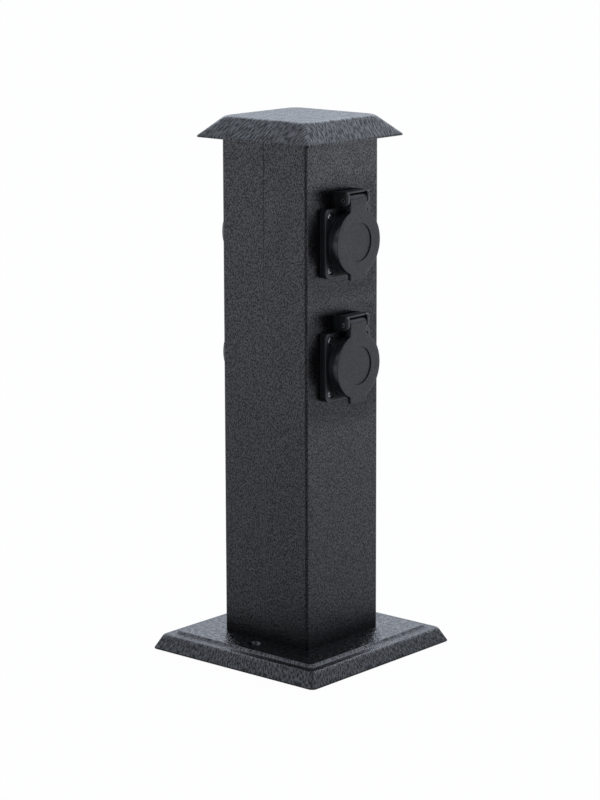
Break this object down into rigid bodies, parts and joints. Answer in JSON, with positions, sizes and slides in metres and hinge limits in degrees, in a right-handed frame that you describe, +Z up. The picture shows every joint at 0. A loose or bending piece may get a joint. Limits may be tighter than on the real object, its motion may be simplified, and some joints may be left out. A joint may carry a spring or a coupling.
{
  "type": "garden socket post",
  "caption": "Square black post on a moulded base, with a roof-like cap and sprung round lids over earthed socket outlets on two opposite faces.",
  "frame": {"origin": "bottom centre of the base", "axes": "+Z up along the post, -Y out of the front outlets, +Y out of the back outlets, the plain faces are -X and +X"},
  "size_m": [0.157, 0.157, 0.396],
  "materials": {
    "powder_coat": "black powder coat with a fine upright texture",
    "moulding": "black moulding with a coarse leather grain, semi-gloss",
    "socket_plastic": "black thermoplastic, satin",
    "lid_plastic": "dark grey thermoplastic, fine matt grain",
    "gland_plastic": "dark grey polyamide",
    "ivory_plastic": "pale polyamide",
    "rubber": "black rubber",
    "zinc_steel": "zinc-plated steel",
    "brass": "plain brass",
    "live_insulation": "brown wire insulation",
    "neutral_insulation": "blue wire insulation",
    "earth_insulation": "green wire insulation"
  },
  "bodies": {
    "post": {"post_tube": "powder_coat", "top_cap": "moulding", "base": "moulding", "foot_angles": "zinc_steel", "foot_screws": "zinc_steel", "gland_body": "gland_plastic", "gland_locknut": "gland_plastic", "gland_seal": "rubber", "gland_dome_nut": "gland_plastic", "terminal_block": "ivory_plastic", "terminal_sleeves": "brass", "terminal_clamp_screws": "zinc_steel", "terminal_block_screws": "zinc_steel", "earth_screw": "zinc_steel", "bonding_wire": "earth_insulation", "live_wires": "live_insulation", "neutral_wires": "neutral_insulation", "earth_wires": "earth_insulation", "flange_screws": "zinc_steel", "insert_screws": "zinc_steel", "contact_clamp_screws": "zinc_steel", "flange_gasket_front_upper": "rubber", "flange_gasket_front_lower": "rubber", "flange_gasket_back_upper": "rubber", "flange_gasket_back_lower": "rubber", "socket_housing_front_upper": "socket_plastic", "socket_housing_front_lower": "socket_plastic", "socket_housing_back_upper": "socket_plastic", "socket_housing_back_lower": "socket_plastic", "contact_insert_front_upper": "socket_plastic", "contact_insert_front_lower": "socket_plastic", "contact_insert_back_upper": "socket_plastic", "contact_insert_back_lower": "socket_plastic", "pin_contacts_front_upper": "brass", "pin_contacts_front_lower": "brass", "pin_contacts_back_upper": "brass", "pin_contacts_back_lower": "brass", "earth_strap_front_upper": "zinc_steel", "earth_strap_front_lower": "zinc_steel", "earth_strap_back_upper": "zinc_steel", "earth_strap_back_lower": "zinc_steel", "hinge_pin_front_upper": "zinc_steel", "hinge_pin_front_lower": "zinc_steel", "hinge_pin_back_upper": "zinc_steel", "hinge_pin_back_lower": "zinc_steel", "lid_spring_front_upper": "zinc_steel", "lid_spring_front_lower": "zinc_steel", "lid_spring_back_upper": "zinc_steel", "lid_spring_back_lower": "zinc_steel"},
    "front_upper_lid": {"lid_front_upper": "lid_plastic", "lid_seal_front_upper": "rubber"},
    "front_lower_lid": {"lid_front_lower": "lid_plastic", "lid_seal_front_lower": "rubber"},
    "back_upper_lid": {"lid_back_upper": "lid_plastic", "lid_seal_back_upper": "rubber"},
    "back_lower_lid": {"lid_back_lower": "lid_plastic", "lid_seal_back_lower": "rubber"}
  },
  "joints": [
    {"name": "front_upper_lid_hinge", "type": "hinge", "parent": "post", "child": "front_upper_lid", "pos_m": [0, -0.0507, 0.339], "axis": [-1, 0, 0], "range_deg": [0, 95], "stiffness_Nm_per_rad": 0.05, "springref_deg": -28.65, "deforming": ["lid_spring_front_upper"]},
    {"name": "front_lower_lid_hinge", "type": "hinge", "parent": "post", "child": "front_lower_lid", "pos_m": [0, -0.0507, 0.2495], "axis": [-1, 0, 0], "range_deg": [0, 95], "stiffness_Nm_per_rad": 0.05, "springref_deg": -28.65, "deforming": ["lid_spring_front_lower"]},
    {"name": "back_upper_lid_hinge", "type": "hinge", "parent": "post", "child": "back_upper_lid", "pos_m": [0, 0.0507, 0.339], "axis": [1, 0, 0], "range_deg": [0, 95], "stiffness_Nm_per_rad": 0.05, "springref_deg": -28.65, "deforming": ["lid_spring_back_upper"]},
    {"name": "back_lower_lid_hinge", "type": "hinge", "parent": "post", "child": "back_lower_lid", "pos_m": [0, 0.0507, 0.2495], "axis": [1, 0, 0], "range_deg": [0, 95], "stiffness_Nm_per_rad": 0.05, "springref_deg": -28.65, "deforming": ["lid_spring_back_lower"]}
  ]
}
